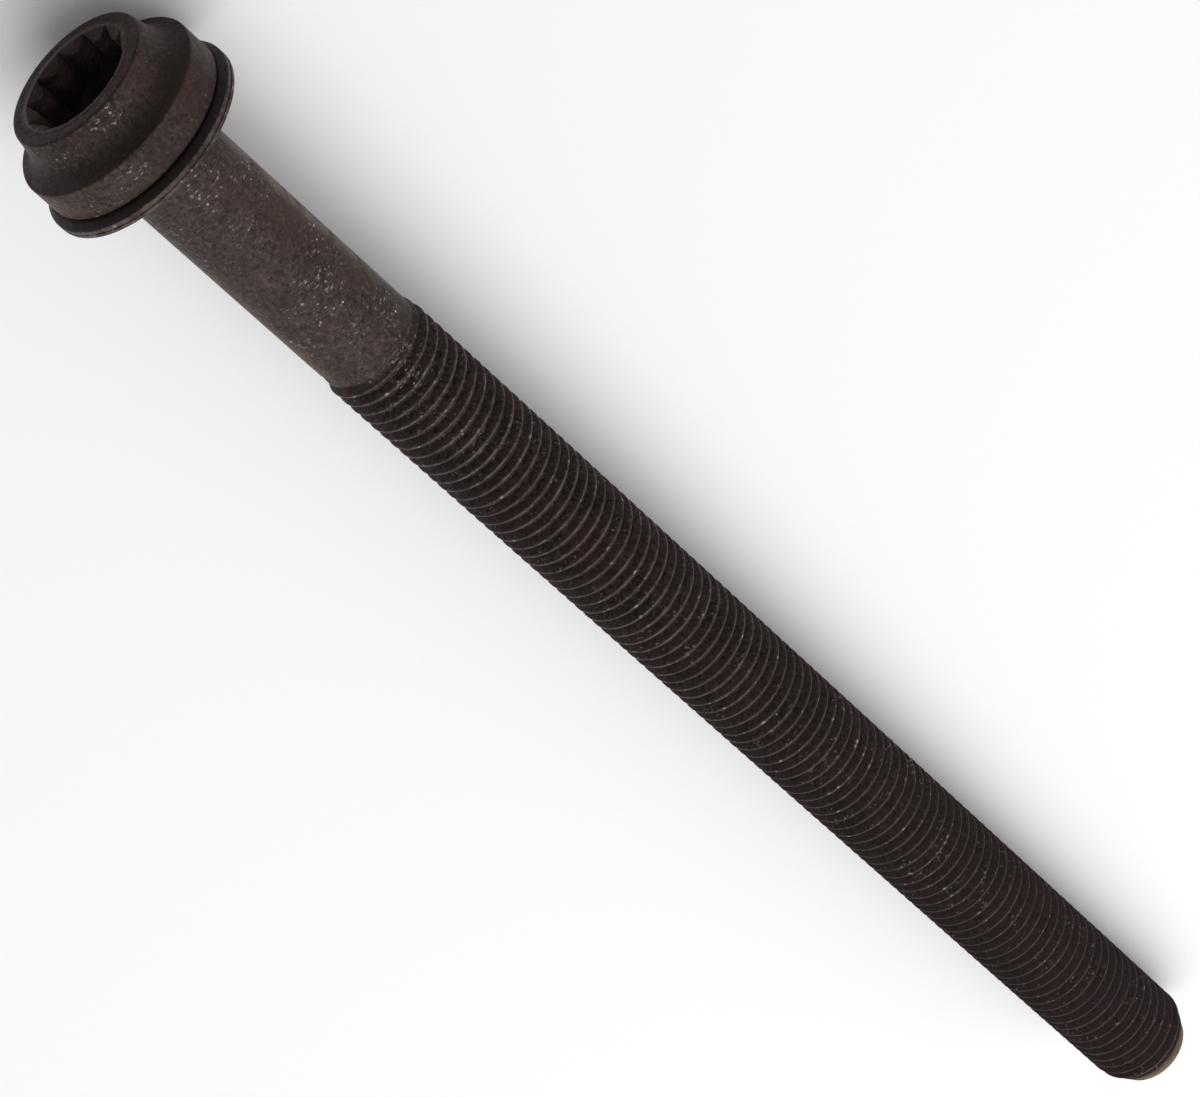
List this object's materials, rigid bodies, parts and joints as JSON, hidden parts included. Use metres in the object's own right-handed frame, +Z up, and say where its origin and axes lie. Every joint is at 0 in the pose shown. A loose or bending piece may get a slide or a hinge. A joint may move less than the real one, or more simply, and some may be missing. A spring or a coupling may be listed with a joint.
{
  "type": "cylinder head bolt",
  "caption": "Long cylinder head bolt with a round stepped head, a 12-point socket, a captive washer on its plain shank and a long rolled thread, lying at rest.",
  "frame": {"origin": "on the bolt's axis, in the bearing plane under the captive washer", "axes": "+X along the bolt towards its tip, +Z up; the axis slopes down to the tip because the washer is wider than the thread it lies on"},
  "size_m": [0.1859, 0.022, 0.0221],
  "materials": {
    "phosphated_steel": "matt black phosphate and oil on rolled steel",
    "washer_steel": "matt black phosphate, rubbed brown at its rim"
  },
  "bodies": {
    "bolt": {"head_bolt": "phosphated_steel"},
    "washer": {"captive_washer": "washer_steel"}
  },
  "joints": [
    {"name": "washer_slide", "type": "slide", "parent": "bolt", "child": "washer", "axis": [0.9996, 0, -0.0286], "range_m": [0, 0.0324]}
  ]
}
